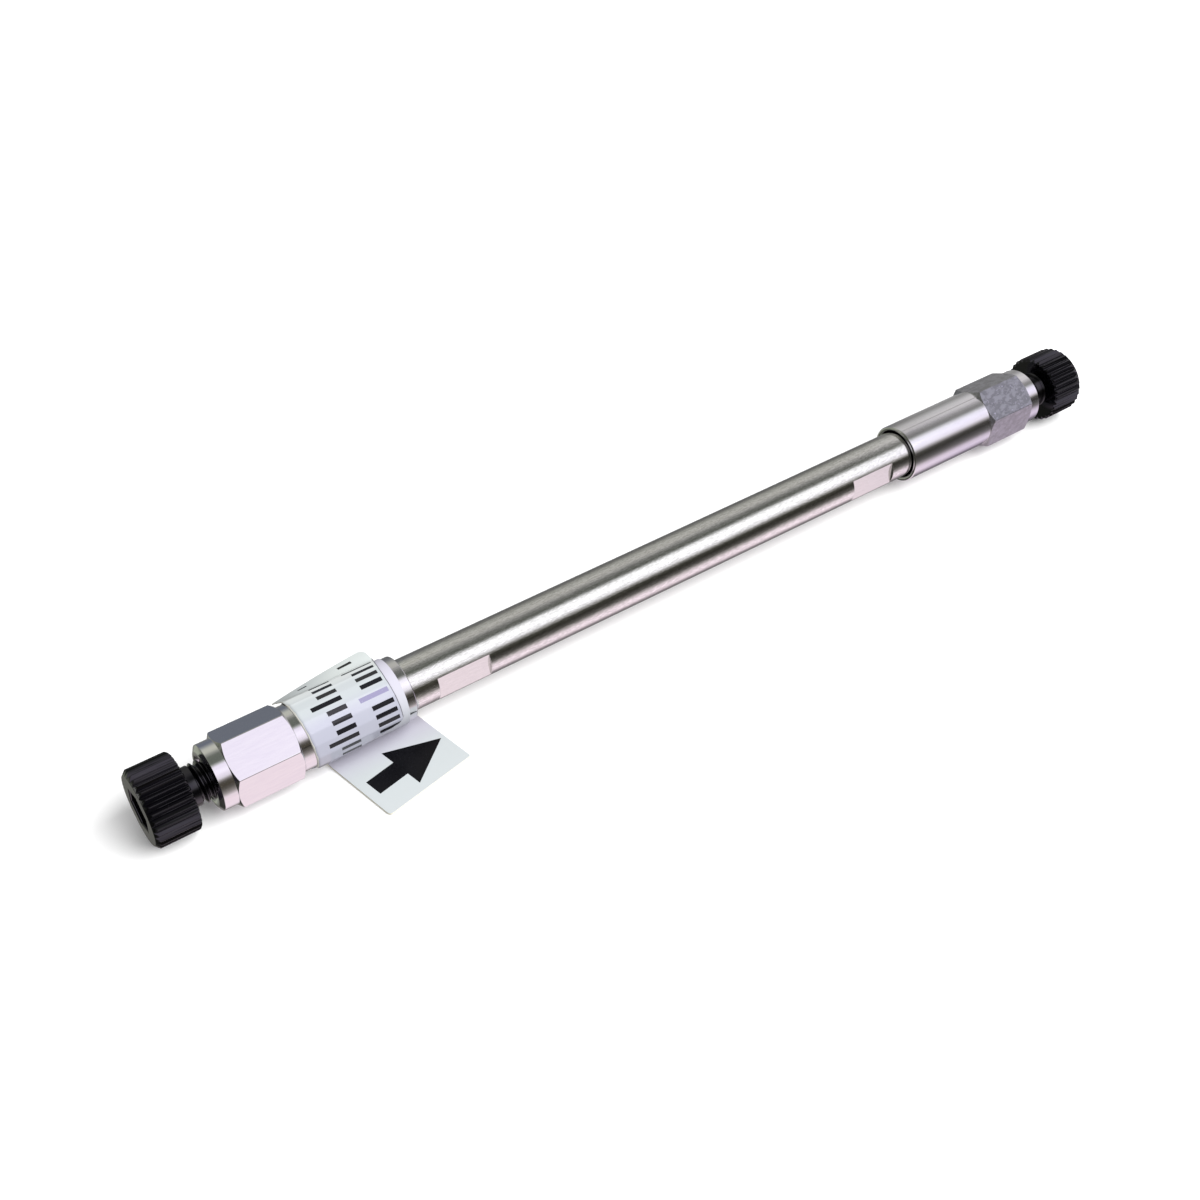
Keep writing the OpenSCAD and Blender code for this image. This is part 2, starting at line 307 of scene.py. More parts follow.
def finish_tree(tree, given, grid, around, station, radius):
    """Bends the grid round the column's axis, closes its seam and gives it its finish."""
    angle = around * math.tau
    place = tree.nodes.new("ShaderNodeCombineXYZ")
    feed(tree, place.inputs[0], station * MM)
    feed(tree, place.inputs[1], radius * angle.math("SINE") * MM)
    feed(tree, place.inputs[2], radius * angle.math("COSINE") * -MM)
    bend = tree.nodes.new("GeometryNodeSetPosition")
    weld = tree.nodes.new("GeometryNodeMergeByDistance")
    weld.inputs["Distance"].default_value = TINY
    real = tree.nodes.new("GeometryNodeRealizeInstances")
    paint = tree.nodes.new("GeometryNodeSetMaterial")
    out = tree.nodes.new("NodeGroupOutput")
    tree.links.new(place.outputs[0], bend.inputs["Position"])
    for one, two in ((grid, bend), (bend, weld), (weld, real), (real, paint), (paint, out)):
        tree.links.new(one.outputs[0], two.inputs[0])
    tree.links.new(given.outputs["Finish"], paint.inputs["Material"])
    return tree


FLUTE_SIZES = {
    "Columns": 864, "Rows": 4, "Flutes": FLUTES, "Flute depth": FLUTE_DEPTH,
    "Crest share": CREST_SHARE, "Valley share": VALLEY_SHARE, "Head radius": HEAD_R,
    "Face": -HEAD_GAP - HEAD_LEN, "Back": -HEAD_GAP,
    "Face chamfer": HEAD_CHAMFER, "Back chamfer": HEAD_BACK_CHAMFER,
}


def flute_tree():
    """Wall of the fluted head: rows at the face, the two chamfers' edges and the back."""
    tree, size, given, grid, around, row = rule_tree("fluted_wall", FLUTE_SIZES)
    swing = abs((around * size["Flutes"] + 0.5).math("FRACT") - 0.5) * 2
    fall = (swing - size["Crest share"]) / (1 - size["Crest share"] - size["Valley share"])
    wall = size["Head radius"] - size["Flute depth"] * fall.within(0, 1)
    face_r = size["Head radius"] - size["Face chamfer"]
    back_r = size["Head radius"] - size["Back chamfer"]
    station = row.over(2.5).pick(
        size["Back"],
        row.over(1.5).pick(
            size["Back"] - (wall - back_r).most(0),
            size["Face"] + row.over(0.5) * (wall - face_r)))
    radius = row.over(2.5).pick(wall.least(back_r), row.over(0.5).pick(wall, face_r))
    return finish_tree(tree, given, grid, around, station, radius)


# Shares of half a pitch that the thread's valley and its flank take; the crest has the rest.
THREAD_VALLEY = 0.16
THREAD_FLANK = 0.66
THREAD_SIZES = {
    "Columns": 96, "Rows": 80, "Rows in a turn": 10, "Pitch": THREAD_PITCH,
    "Start": 0.0, "End": PORT_DEPTH, "Base radius": PORT_R,
    "Crest radius": PORT_R + PORT_THREAD_H, "Lead": 0.3,
}


def thread_tree():
    """Screw thread: the grid's rows climb one pitch in a turn and stop at both ends."""
    tree, size, given, grid, around, row = rule_tree("screw_thread", THREAD_SIZES)
    turns = row / size["Rows in a turn"]
    climb = size["Start"] + size["Pitch"] * (turns + around - 1)
    station = climb.most(size["Start"]).least(size["End"])
    ridge = (abs(turns.math("FRACT") - 0.5) * 2 - THREAD_VALLEY) / THREAD_FLANK
    lead_in = (station - size["Start"]) / size["Lead"]
    lead_out = (size["End"] - station) / size["Lead"]
    height = ridge.within(0, 1).least(lead_in).least(lead_out)
    radius = size["Base radius"] + (size["Crest radius"] - size["Base radius"]) * height
    return finish_tree(tree, given, grid, around, station, radius)


def run_tree(tree, sizes, finish):
    """Runs a tree once with these sizes and gives its result as a plain mesh."""
    holder = shown("rule", bpy.data.meshes.new("rule"))
    step = holder.modifiers.new("rule", "NODES")
    step.node_group = tree
    for item in tree.interface.items_tree:
        if item.in_out == "INPUT":
            step[item.identifier] = finish if item.name == "Finish" else sizes[item.name]
    graph = bpy.context.evaluated_depsgraph_get()
    mesh = bpy.data.meshes.new_from_object(holder.evaluated_get(graph))
    bpy.data.objects.remove(holder)
    return mesh


# ---- turned shapes ------------------------------------------------------

def even_angles(count):
    return [math.tau * i / count for i in range(count)]


def softened(line, radius):
    """Rounds each inner corner of a line of (station, radius) points, within its sides."""
    most = 0.42
    out = [line[0]]
    for before, here, after in zip(line, line[1:], line[2:]):
        p, a, b = Vector(here), Vector(before), Vector(after)
        back, on = a - p, b - p
        reach = min(radius, most * back.length, most * on.length)
        start = p + back.normalized() * reach
        end = p + on.normalized() * reach
        out += [tuple(start), tuple(start * 0.25 + p * 0.5 + end * 0.25), tuple(end)]
    return out + [line[-1]]


def turned(profile, angles, cap_start=False, cap_end=False, soft=0.0):
    """A shell round the axis from profile(angle), a list of (station, radius) points."""
    columns = [profile(angle) for angle in angles]
    if soft:
        columns = [softened(line, soft) for line in columns]
    rows, count = len(columns[0]), len(angles)
    points = [
        (column[row][0], column[row][1] * math.sin(a), -column[row][1] * math.cos(a))
        for row in range(rows) for a, column in zip(angles, columns)
    ]
    faces = []
    for row in range(rows - 1):
        low, high = row * count, (row + 1) * count
        faces += [
            (low + i, low + (i + 1) % count, high + (i + 1) % count, high + i)
            for i in range(count)
        ]
    for wanted, row, station in ((cap_start, 0, columns[0][0][0]),
                                 (cap_end, rows - 1, columns[0][-1][0])):
        if wanted:
            low, pole = row * count, len(points)
            points.append((station, 0, 0))
            faces += [(low + i, low + (i + 1) % count, pole) for i in range(count)]
    mesh = bpy.data.meshes.new("turned")
    mesh.from_pydata([Vector(p) * MM for p in points], [], faces)
    return mesh


def build(name, meshes, finish, at_outlet=False, even_shading=True, crease=None):
    """Welds meshes into one piece at the inlet, or turned end for end at the outlet."""
    body = bmesh.new()
    for mesh in meshes:
        body.from_mesh(mesh)
        bpy.data.meshes.remove(mesh)
    bmesh.ops.remove_doubles(body, verts=body.verts, dist=WELD)
    bmesh.ops.dissolve_degenerate(body, edges=body.edges, dist=TINY)
    if at_outlet:
        spin = Matrix.Rotation(math.pi, 4, "Z")
        shift = Matrix.Translation((COLUMN_LEN * MM, 0, 0))
        bmesh.ops.transform(body, matrix=shift @ spin, verts=body.verts)
    bmesh.ops.recalc_face_normals(body, faces=body.faces)
    for face in body.faces:
        face.smooth = True
        face.material_index = 0
    if crease is not None:
        for edge in body.edges:
            if len(edge.link_faces) == 2:
                edge.smooth = edge.calc_face_angle() < math.radians(crease)
    mesh = bpy.data.meshes.new(name)
    body.to_mesh(mesh)
    body.free()
    mesh.materials.append(finish)
    piece = shown(name, mesh)
    if even_shading:
        step = piece.modifiers.new("even_shading", "WEIGHTED_NORMAL")
        step.keep_sharp = True
        step.weight = 80
        graph = bpy.context.evaluated_depsgraph_get()
        shaded = bpy.data.meshes.new_from_object(piece.evaluated_get(graph))
        piece.modifiers.clear()
        piece.data = shaded
        shaded.name = name
    return piece


# ---- finishes -----------------------------------------------------------

class Finish:
    """A procedural material: patterns read the object's own coordinates in millimetres."""

    def __init__(self, name, colour, roughness, metallic=0.0):
        self.material = bpy.data.materials.new(name)
        self.material.use_nodes = True
        self.tree = self.material.node_tree
        self.shader = self.tree.nodes["Principled BSDF"]
        self.set("Base Color", (*colour, 1.0))
        self.set("Roughness", roughness)
        self.set("Metallic", metallic)
        self.coords = self.tree.nodes.new("ShaderNodeTexCoord")
        self.heights = None

    def set(self, socket, value):
        feed(self.tree, self.shader.inputs[socket], value)

    def parts(self, output="Object", scale=1 / MM):
        """The place on the piece along x, y and z, in millimetres."""
        return [part * scale for part in split(self.tree, self.coords.outputs[output])]

    def noise(self, stretch, detail=2.0, roughness=0.5, offset=(0, 0, 0), output="Object"):
        """Noise with so many features in a millimetre along x, y and z."""
        place = self.tree.nodes.new("ShaderNodeMapping")
        scale = 1 / MM if output == "Object" else 1.0
        place.inputs["Scale"].default_value = [s * scale for s in stretch]
        place.inputs["Location"].default_value = offset
        self.tree.links.new(self.coords.outputs[output], place.inputs[0])
        node = self.tree.nodes.new("ShaderNodeTexNoise")
        node.inputs["Scale"].default_value = 1.0
        node.inputs["Detail"].default_value = detail
        node.inputs["Roughness"].default_value = roughness
        self.tree.links.new(place.outputs[0], node.inputs["Vector"])
        return Sum(self.tree, node.outputs[0])

    def facing(self, output="Normal"):
        """The surface's direction along x, y and z."""
        surface = self.tree.nodes.new("ShaderNodeNewGeometry")
        return split(self.tree, surface.outputs[output])

    def blend(self, share, low, high):
        return mixed(self.tree, share, low, high)

    def bump(self, height, depth_mm):
        node = self.tree.nodes.new("ShaderNodeBump")
        node.inputs["Strength"].default_value = 1.0
        node.inputs["Distance"].default_value = depth_mm * MM
        feed(self.tree, node.inputs["Height"], height)
        if self.heights:
            self.tree.links.new(self.heights, node.inputs["Normal"])
        self.heights = node.outputs[0]
        self.tree.links.new(self.heights, self.shader.inputs["Normal"])


def drawn_steel():
    """Tube: visible grain along the axis, with broader faint streaks."""
    steel = Finish("drawn_steel", (0.72, 0.715, 0.70), 0.14, 1.0)
    grain = steel.noise((2.4, 7.5, 7.5), detail=3, roughness=0.7)
    fleck = steel.noise((1.0, 5, 5), detail=2, roughness=0.7, offset=(3, 1, 2))
    broad = steel.noise((0.03, 1.1, 1.1), detail=2)
    _, y, z = steel.parts()
    flat = 1 - (y * y + z * z).math("SQRT").eased(TUBE_R - 0.03, TUBE_R - 0.01)
    steel.set("Roughness", grain * 0.09 + fleck * 0.04 + 0.015 + flat * 0.08)
    streaked = steel.blend(
        (grain * 0.5 + fleck * 0.5).eased(0.36, 0.64), (0.62, 0.615, 0.60), (0.82, 0.815, 0.805))
    steel.set("Base Color", steel.blend(flat * 0.75, streaked, (0.735, 0.73, 0.715)))
    steel.bump((grain + fleck * 0.3 + broad * 0.2) * (1 - flat * 0.93), 0.008)
    return steel.material


def turned_steel():
    """End fittings: turning marks on the round parts, brushing and scuffs on the flats."""
    steel = Finish("turned_steel", (0.73, 0.72, 0.74), 0.16, 1.0)
    x, y, z = steel.parts()
    off_axis = (y * y + z * z).math("SQRT")
    flat = off_axis.eased(TURNED_R + 0.015, TURNED_R + 0.04)
    scuffed = flat * x.over(COLUMN_LEN / 2)
    rings = steel.noise((16, 0.5, 0.5), detail=2, roughness=0.6)
    brushed = steel.noise((0.16, 7, 7), detail=3, roughness=0.6)
    streak = steel.noise((0.35, 3.2, 3.2), detail=3, roughness=0.7, offset=(4, 1, 6))
    mottle = steel.noise((0.9, 1.3, 1.3), detail=4, roughness=0.65, offset=(7, 2, 5))
    nick = steel.noise((2.6, 2.6, 2.6), detail=3, roughness=0.75, offset=(1, 8, 3))
    steel.set("Roughness", flat.pick(brushed * 0.10 + 0.10, rings * 0.08 + 0.09)
              + scuffed * (0.22 + mottle * 0.2))
    clean = steel.blend(streak.eased(0.3, 0.7), (0.715, 0.70, 0.735), (0.745, 0.735, 0.755))
    wear_and_glare = steel.blend(mottle.eased(0.38, 0.62), (0.40, 0.395, 0.425), (0.52, 0.515, 0.56))
    rubbed = steel.blend(nick.eased(0.60, 0.70), wear_and_glare, (0.72, 0.70, 0.80))
    # Painted shade: the face that is turned to the front is painted darker, with pale nicks of
    # wear.
    front_shade = steel.blend(nick.eased(0.57, 0.67), (0.27, 0.27, 0.30), (0.56, 0.54, 0.66))
    front_shade_mottled = steel.blend(mottle.eased(0.44, 0.60), front_shade, (0.40, 0.40, 0.45))
    _, side_y, side_z = steel.facing("True Normal")
    front = (side_y * FRONT_Y + side_z * FRONT_Z).over(0.9)
    steel.set("Base Color", steel.blend(scuffed, clean, steel.blend(front, rubbed, front_shade_mottled)))
    steel.bump(flat.pick(brushed, rings), 0.003)
    steel.bump(scuffed * (mottle.eased(0.42, 0.58) + nick * 0.6), 0.012)
    return steel.material


def moulded_black():
    """Plugs: near-black plastic with a faint grain and a few pale scuffs."""
    plastic = Finish("moulded_black", (0.003, 0.003, 0.004), 0.2)
    grain = plastic.noise((5, 5, 5), detail=3, roughness=0.6)
    scuff = plastic.noise((1.6, 1.6, 1.6), detail=4, roughness=0.75, offset=(2, 5, 1))
    wear_and_glare = scuff.eased(0.68, 0.78)
    plastic.set("Base Color", plastic.blend(wear_and_glare, (0.0006, 0.0006, 0.001), (0.03, 0.028, 0.04)))
    plastic.set("Roughness", grain * 0.06 + wear_and_glare * 0.2 + 0.09)
    plastic.set("Specular IOR Level", 0.54)
    plastic.set("Specular Tint", (0.92, 0.89, 1.0, 1.0))
    plastic.bump(grain * 0.5 + scuff, 0.003)
    return plastic.material


def sintered_metal():
    grit = Finish("sintered_metal", (0.32, 0.32, 0.31), 0.5, 1.0)
    grains = grit.noise((14, 14, 14), detail=3, roughness=0.7)
    grit.set("Base Color", grit.blend(grains.eased(0.3, 0.7), (0.2, 0.2, 0.19), (0.5, 0.5, 0.48)))
    grit.set("Roughness", grains * 0.4 + 0.3)
    grit.bump(grains, 0.03)
    return grit.material


def seal_plastic():
    seal = Finish("seal_plastic", (0.72, 0.62, 0.45), 0.4)
    cloud = seal.noise((0.8, 0.8, 0.8), detail=2)
    lines = seal.noise((10, 0.6, 0.6), detail=2)
    seal.set("Base Color", seal.blend(cloud, (0.66, 0.56, 0.40), (0.76, 0.67, 0.50)))
    seal.set("Roughness", lines * 0.2 + 0.3)
    seal.bump(lines, 0.004)
    return seal.material


def packed_powder():
    powder = Finish("packed_powder", (0.86, 0.86, 0.84), 0.9)
    grains = powder.noise((18, 18, 18), detail=3, roughness=0.7)
    cloud = powder.noise((0.4, 0.4, 0.4), detail=2)
    powder.set("Base Color", powder.blend(cloud, (0.80, 0.80, 0.78), (0.90, 0.90, 0.88)))
    powder.set("Roughness", grains * 0.1 + 0.85)
    powder.bump(grains, 0.02)
    return powder.material


# Printed bars on the label, in millimetres: where each starts and ends round the wrap, then
# across it. There is a row of ten, a row of nine and a pair of marks on the loose end.
BAR_W = 0.55
SHORT_BARS = tuple(
    (start, start + BAR_W, 1.7 if longer else 3.0, 5.4)
    for start, longer in ((1.3 + 1.15 * i, i in (2, 6)) for i in range(10))
)
LONG_BARS = tuple(
    (start, start + BAR_W, 6.9 if longer else 7.8, 10.5)
    for start, longer in ((2.2, False), (3.3, False), (4.4, False), (5.5, False), (6.85, True),
                          (8.2, False), (9.3, False), (10.4, False), (11.6, True))
)
LOOSE_MARKS = ((14.0, 14.25, 2.6, 3.6), (14.0, 14.35, 7.3, 8.9))
# Painted highlight: one bar is painted lavender as a glare, in this stretch round the wrap and
# beyond this distance across it.
GLARE_FROM = 6.75
GLARE_TO = 7.5
GLARE_ACROSS = 6.5
# A dark line of shade runs along the label's far edge, this wide and up to the crease.
RIM_W = 0.1
RIM_TO = 13.4


def label_film():
    """Label: glossy film with two rows of plain printed bars and a faint crumple."""
    film = Finish("label_film", (0.45, 0.48, 0.50), 0.2)
    around, across, _ = film.parts("UV", 1.0)
    _, y, z = film.parts()
    cloud = film.noise((0.12, 0.12, 1), detail=2, output="UV")
    grain = film.noise((3, 3, 3), detail=3, roughness=0.6)
    bars = [around.over(start) * around.under(end) * across.over(low) * across.under(high)
            for start, end, low, high in SHORT_BARS + LONG_BARS + LOOSE_MARKS]
    ink = bars[0]
    for bar in bars[1:]:
        ink = ink.most(bar)
    # Painted light and shade: seen from the front the film is painted bluer and darker low down,
    # paler near the top and duller on the loose end, which stands over it.
    rise = y * FRONT_Z - z * FRONT_Y
    paper = film.blend((-rise).eased(-2.0, 0.2), (0.41, 0.44, 0.455), (0.35, 0.355, 0.425))
    paper = film.blend(cloud.eased(0.3, 0.7) * 0.2, paper, (0.43, 0.44, 0.48))
    paper = film.blend(rise.eased(2.9, 4.0), paper, (0.60, 0.625, 0.62))
    paper = film.blend(rise.eased(4.1, 4.3), paper, (0.47, 0.50, 0.495))
    # Painted light: the cut edges are painted pale cream, far paler than the face, as if lit.
    sideways, _, _ = film.facing()
    cut = abs(sideways).over(0.6)
    paper = film.blend(cut, paper, (0.80, 0.79, 0.72))
    rim = across.over(LABEL_W - RIM_W) * around.under(RIM_TO)
    paper = film.blend(rim, paper, (0.13, 0.13, 0.15))
    # Painted highlight: that bar's ink is painted lavender as a glare.
    wear_and_glare = around.over(GLARE_FROM) * around.under(GLARE_TO) * across.over(GLARE_ACROSS)
    printed = film.blend(wear_and_glare, (0.006, 0.006, 0.009), (0.20, 0.185, 0.30))
    film.set("Base Color", film.blend(ink * (1 - cut), paper, printed))
    film.set("Roughness", grain * 0.12 + 0.12 + ink * 0.08)
    film.set("Coat Weight", 0.2)
    film.set("Coat Roughness", 0.08)
    film.bump(cloud + grain * 0.05, 0.02)
    return film.material


# The printed arrow on the flag, in millimetres.
ARROW_TIP = (25.85, -5.83)
ARROW_TURN = math.radians(12.1)
ARROW_HEAD_LEN = 6.28
ARROW_HEAD_HALF = 3.25
ARROW_LEN = 10.35
ARROW_SHAFT_HALF = 1.22


def tag_card():
    """Flow tag: coated face, cream cut edges and a plain printed arrow on the flag."""
    card = Finish("tag_card", (0.48, 0.50, 0.53), 0.45)
    x, y, z = card.parts()
    dx, dy = x - ARROW_TIP[0], y - ARROW_TIP[1]
    ahead = -(dx * math.cos(ARROW_TURN) + dy * math.sin(ARROW_TURN))
    aside = abs(dy * math.cos(ARROW_TURN) - dx * math.sin(ARROW_TURN))
    head = ahead.over(0) * ahead.under(ARROW_HEAD_LEN) * (
        (ahead * (ARROW_HEAD_HALF / ARROW_HEAD_LEN)) - aside).over(0)
    along_shaft = ahead.over(ARROW_HEAD_LEN - 0.1) * ahead.under(ARROW_LEN)
    shaft = along_shaft * aside.under(ARROW_SHAFT_HALF)
    _, _, upward = card.facing()
    on_flag = z.under(FLAG_TOP + 0.05)
    ink = head.most(shaft) * on_flag * upward.over(0.5)
    # The flag's cut edge is cream, painted paler than its own tone as painted light on its shaded
    # side, with a line where its two plies meet.
    cut = on_flag * upward.under(0.5) * upward.over(-0.5)
    plies = abs(z - (FLAG_BOTTOM + FLAG_T / 2)).under(0.02)
    fibre = card.noise((4, 4, 4), detail=3, roughness=0.6)
    # Painted shade: the face is painted a little more lavender near the column.
    face = card.blend(y.eased(-6.5, -2.0), (0.45, 0.48, 0.49), (0.445, 0.435, 0.50))
    edge = card.blend(plies * 0.6, (0.86, 0.82, 0.66), (0.50, 0.44, 0.32))
    paper = card.blend(cut, face, edge)
    card.set("Base Color", card.blend(ink, paper, (0.002, 0.002, 0.003)))
    card.set("Roughness", fibre * 0.2 + 0.35 - ink * 0.15)
    card.set("Specular IOR Level", 0.2)
    card.bump(fibre, 0.004)
    return card.material


# ---- pieces -------------------------------------------------------------

def hexagon_radius(angle, turn, half, rounding):
    """Distance to a hexagon's outline, its corners rounded; turn is one corner's angle."""
    side = math.radians(60)
    off = (angle - turn + side / 2) % side - side / 2
    corner = half / math.cos(side / 2)
    centre = corner - rounding / math.cos(side / 2)
    if rounding and abs(off) < math.asin(min(1.0, rounding * 0.5 / corner)):
        return centre * math.cos(off) + math.sqrt(rounding ** 2 - (centre * math.sin(off)) ** 2)
    return half / math.cos(side / 2 - abs(off))


def hexagon_angles(turn):
    """Columns round a hexagon, crowded at its corners."""
    near, steps = [0.0, 0.35, 0.72, 1.1], 26
    side = 60 - 2 * near[-1]
    offs = near + [near[-1] + side * i / steps for i in range(1, steps)]
    offs += [60 - v for v in near[:0:-1]]
    return [turn + math.radians(60 * k + off) for k in range(6) for off in offs]


def thread_rows(start, end):
    turns = (end - start) / THREAD_PITCH + 1
    return math.ceil(turns) * THREAD_SIZES["Rows in a turn"] + 1


def end_fitting(name, hex_turn, finish, thread, at_outlet=False):
    """Collar, hexagon and sleeve in one, with the threaded port and the seats inside."""
    turn = math.radians(-hex_turn if at_outlet else hex_turn)

    def profile(angle):
        hexagon = hexagon_radius(angle, turn, HEX_HALF, HEX_EDGE)
        rise = (hexagon - HEX_BEVEL_R) * BEVEL_SLOPE
        foot = (TURNED_R - HEX_BEVEL_R) * BEVEL_SLOPE
        mouth_rise = PORT_MOUTH_R - PORT_R
        return [
            (PORT_DEPTH, PORT_R + PORT_RELIEF), (mouth_rise + 0.02, PORT_R + PORT_RELIEF),
            (mouth_rise, PORT_R), (0, PORT_MOUTH_R), (0, TURNED_R - COLLAR_BEVEL),
            (COLLAR_BEVEL * BEVEL_SLOPE, TURNED_R),
            (COLLAR_LEN + foot, TURNED_R), (COLLAR_LEN + rise, hexagon),
            (HEX_END - rise, hexagon), (HEX_END - foot, TURNED_R),
            (SLEEVE_END - MOUTH_BEVEL, TURNED_R), (SLEEVE_END, TURNED_R - MOUTH_BEVEL),
            (SLEEVE_END, MOUTH_R + MOUTH_BEVEL), (SLEEVE_END - MOUTH_BEVEL, MOUTH_R),
            (SLEEVE_END - MOUTH_DEPTH, MOUTH_R), (SLEEVE_END - MOUTH_DEPTH, SEAT_R),
            (FRIT_START, SEAT_R), (FRIT_START, CAPILLARY_R), (PILOT_END, CAPILLARY_R),
            (PILOT_END, PILOT_R), (CONE_END, PILOT_R), (PORT_DEPTH, CONE_R),
            (PORT_DEPTH, PORT_R + PORT_RELIEF),
        ]

    shell = turned(profile, hexagon_angles(turn), soft=FITTING_EDGE)
    start = PORT_MOUTH_R - PORT_R + 0.01
    sizes = dict(THREAD_SIZES, Start=start, Rows=thread_rows(start, PORT_DEPTH))
    screw = run_tree(thread, sizes, finish)
    liner = turned(
        lambda angle: [(start, PORT_R), (start, PORT_R + LINER_T),
                       (PORT_DEPTH, PORT_R + LINER_T), (PORT_DEPTH, PORT_R)],
        even_angles(THREAD_SIZES["Columns"]))
    return build(name, [shell, screw, liner], finish, at_outlet)


# The socket's first corner stands on this column of the wall's grid.
SOCKET_COLUMN = 29


def shipping_plug(name, finish, flutes, thread, at_outlet=False):
    """Fluted head with a hexagonal socket, and a threaded stem with a sealing cone."""
    face, back = -HEAD_GAP - HEAD_LEN, -HEAD_GAP
    columns = even_angles(FLUTE_SIZES["Columns"])
    bottom, rim = face + SOCKET_DEPTH, HEAD_R - HEAD_CHAMFER

    def face_profile(angle):
        socket = hexagon_radius(angle, columns[SOCKET_COLUMN], SOCKET_HALF, 0)
        return [
            (bottom, socket - 0.1), (bottom, socket - 0.02),
            (bottom - 0.02, socket), (bottom - 0.1, socket),
            (face + 0.2, socket), (face + SOCKET_CHAMFER, socket),
            (face, socket + SOCKET_CHAMFER), (face, socket + 0.2),
            (face, rim - 0.05), (face, rim),
        ]

    def back_profile(angle):
        swing = abs((angle / math.tau * FLUTES + 0.5) % 1.0 - 0.5) * 2
        fall = clamped((swing - CREST_SHARE) / (1 - CREST_SHARE - VALLEY_SHARE))
        edge = min(HEAD_R - FLUTE_DEPTH * fall, HEAD_R - HEAD_BACK_CHAMFER)
        return [(back, edge), (back, edge - 0.1), (back, NECK_R)]

    wall = run_tree(flutes, FLUTE_SIZES, finish)
    front = turned(face_profile, columns, cap_start=True)
    rear = turned(back_profile, columns, cap_end=True)
    start, end = back + NECK_LEN, PLUG_REACH
    sizes = dict(THREAD_SIZES, Start=start, End=end, Rows=thread_rows(start, end))
    sizes.update({"Base radius": THREAD_ROOT_R, "Crest radius": THREAD_R})
    screw = run_tree(thread, sizes, finish)
    stem_angles = even_angles(THREAD_SIZES["Columns"])
    neck = turned(
        lambda angle: [
            (back - 0.1, NECK_R + 0.15), (back, NECK_R + 0.15), (back + 0.05, NECK_R + 0.07),
            (back + 0.15, NECK_R), (start - 0.12, NECK_R), (start - 0.04, NECK_R - 0.04),
            (start, NECK_R - 0.12), (start, THREAD_ROOT_R)],
        stem_angles, cap_start=True)
    tip_r = CONE_R - TIP_GAP
    tip_end = PORT_DEPTH + (tip_r - TIP_END_R) / math.tan(math.radians(CONE_HALF_ANGLE))
    tip = turned(
        lambda angle: [(end, THREAD_ROOT_R), (end, tip_r), (PORT_DEPTH, tip_r),
                       (tip_end, TIP_END_R), (tip_end, TIP_END_R - 0.05)],
        stem_angles, cap_end=True)
    return build(name, [wall, front, rear, screw, neck, tip], finish, at_outlet,
                 even_shading=False, crease=62)


def column_tube(finish):
    """Tube with its two pairs of wrench flats."""
    edge, guard = math.asin(FLAT_HALF / TUBE_R), math.radians(0.4)
    flat_steps, round_steps = 12, 48
    half = [edge + guard * k for k in (-1, 0, 1)]
    step = (math.pi / 2 - half[-1]) / flat_steps
    half += [half[-1] + step * i for i in range(1, flat_steps + 1)]
    side = half + [math.pi - v for v in half[-2::-1]]
    step = (math.pi + side[0] - side[-1]) / round_steps
    side += [side[-1] + step * i for i in range(1, round_steps)]
    angles = side + [v + math.pi for v in side]
    starts = (SLEEVE_END + FLAT_GAP, COLUMN_LEN - SLEEVE_END - FLAT_GAP - FLAT_LEN)

    def profile(angle):
        reach = abs(math.sin(angle))
        cut = min(TUBE_R, FLAT_HALF / reach if reach > 0.5 else TUBE_R)
        line = [(TUBE_START, BORE_R), (TUBE_START, TUBE_R)]
        for start in starts:
            line += [(start, TUBE_R), (start + FLAT_STEP, cut),
                     (start + FLAT_LEN - FLAT_STEP, cut), (start + FLAT_LEN, TUBE_R)]
        far = COLUMN_LEN - TUBE_START
        return line + [(far, TUBE_R), (far, BORE_R), (TUBE_START, BORE_R)]

    return build("tube", [turned(profile, angles, soft=TUBE_EDGE)], finish)


def sheet_mesh(grid, marks=None):
    """A strip of paper on a grid of (point, outward) pairs; marks are its UV in millimetres."""
    rows, cols = len(grid), len(grid[0])
    points = [p for row in grid for p, _ in row]
    points += [p + out * PAPER_T for row in grid for p, out in row]
    under = rows * cols
    faces = []

    def at(i, j, top):
        return i * cols + j + (under if top else 0)

    for i in range(rows - 1):
        for j in range(cols - 1):
            faces.append([at(i, j, 0), at(i, j + 1, 0), at(i + 1, j + 1, 0), at(i + 1, j, 0)])
            faces.append([at(i, j, 1), at(i + 1, j, 1), at(i + 1, j + 1, 1), at(i, j + 1, 1)])
    rim = [(0, j) for j in range(cols)] + [(i, cols - 1) for i in range(1, rows)]
    rim += [(rows - 1, j) for j in range(cols - 2, -1, -1)]
    rim += [(i, 0) for i in range(rows - 2, 0, -1)]
    for (i, j), (k, m) in zip(rim, rim[1:] + rim[:1]):
        faces.append([at(i, j, 0), at(k, m, 0), at(k, m, 1), at(i, j, 1)])
    mesh = bpy.data.meshes.new("sheet")
    mesh.from_pydata([p * MM for p in points], [], faces)
    if marks:
        layer = mesh.uv_layers.new(name="UVMap")
        for loop in mesh.loops:
            i, j = divmod(loop.vertex_index % under, cols)
            layer.data[loop.index].uv = marks[i][j]
    return mesh


def on_wrap(x, r, degrees):
    """A point of a wrap round the axis and the way out from it; 0 degrees is straight down."""
    out = Vector((0, sin_deg(degrees), -cos_deg(degrees)))
    return Vector((x, 0, 0)) + out * r, out


# Places round the sleeve, in degrees from straight down.
CREASE = -228.0
LABEL_START_NEAR = -46.0
LABEL_START_FAR = -82.0
FLARE_START = -150.0
HUG_END = -215.0
HUG_FADE = 20.0
# The film is nearly flat between these soft folds; the share is of a true flat's depth.
FOLDS = (LABEL_START_NEAR, -66, -88, -112, -131, -152, -171, -190, -209, CREASE)
FLAT_SHARE = 0.75
